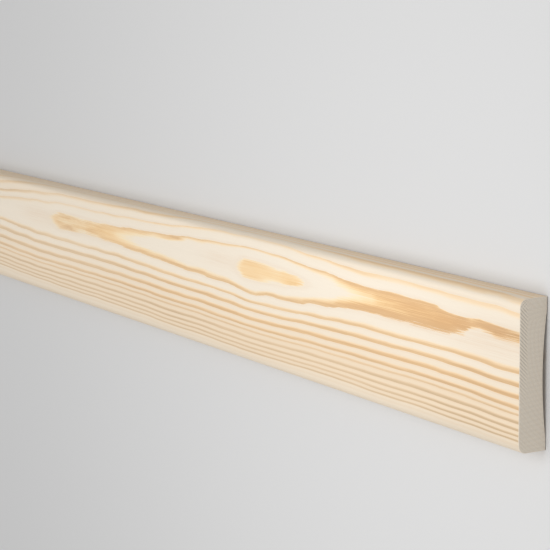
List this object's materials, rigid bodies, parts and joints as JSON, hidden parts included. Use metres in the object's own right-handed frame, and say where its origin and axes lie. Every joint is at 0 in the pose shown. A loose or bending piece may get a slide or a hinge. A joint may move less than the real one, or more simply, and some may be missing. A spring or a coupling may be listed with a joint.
{
  "type": "door lining board",
  "caption": "Long planed pine moulding with rounded front edges and a shallow hollow back, which covers the joint between a door frame and the wall.",
  "frame": {"origin": "middle of the underside, in the plane of the two back lands that bear on the wall", "axes": "+X along the board's length, +Y across its width, +Z out of the front face, which lies upwards"},
  "size_m": [2.2, 0.07, 0.015],
  "materials": {
    "planed_pine": "matte"
  },
  "bodies": {
    "root": {"door_lining_board": "planed_pine"}
  },
  "joints": []
}
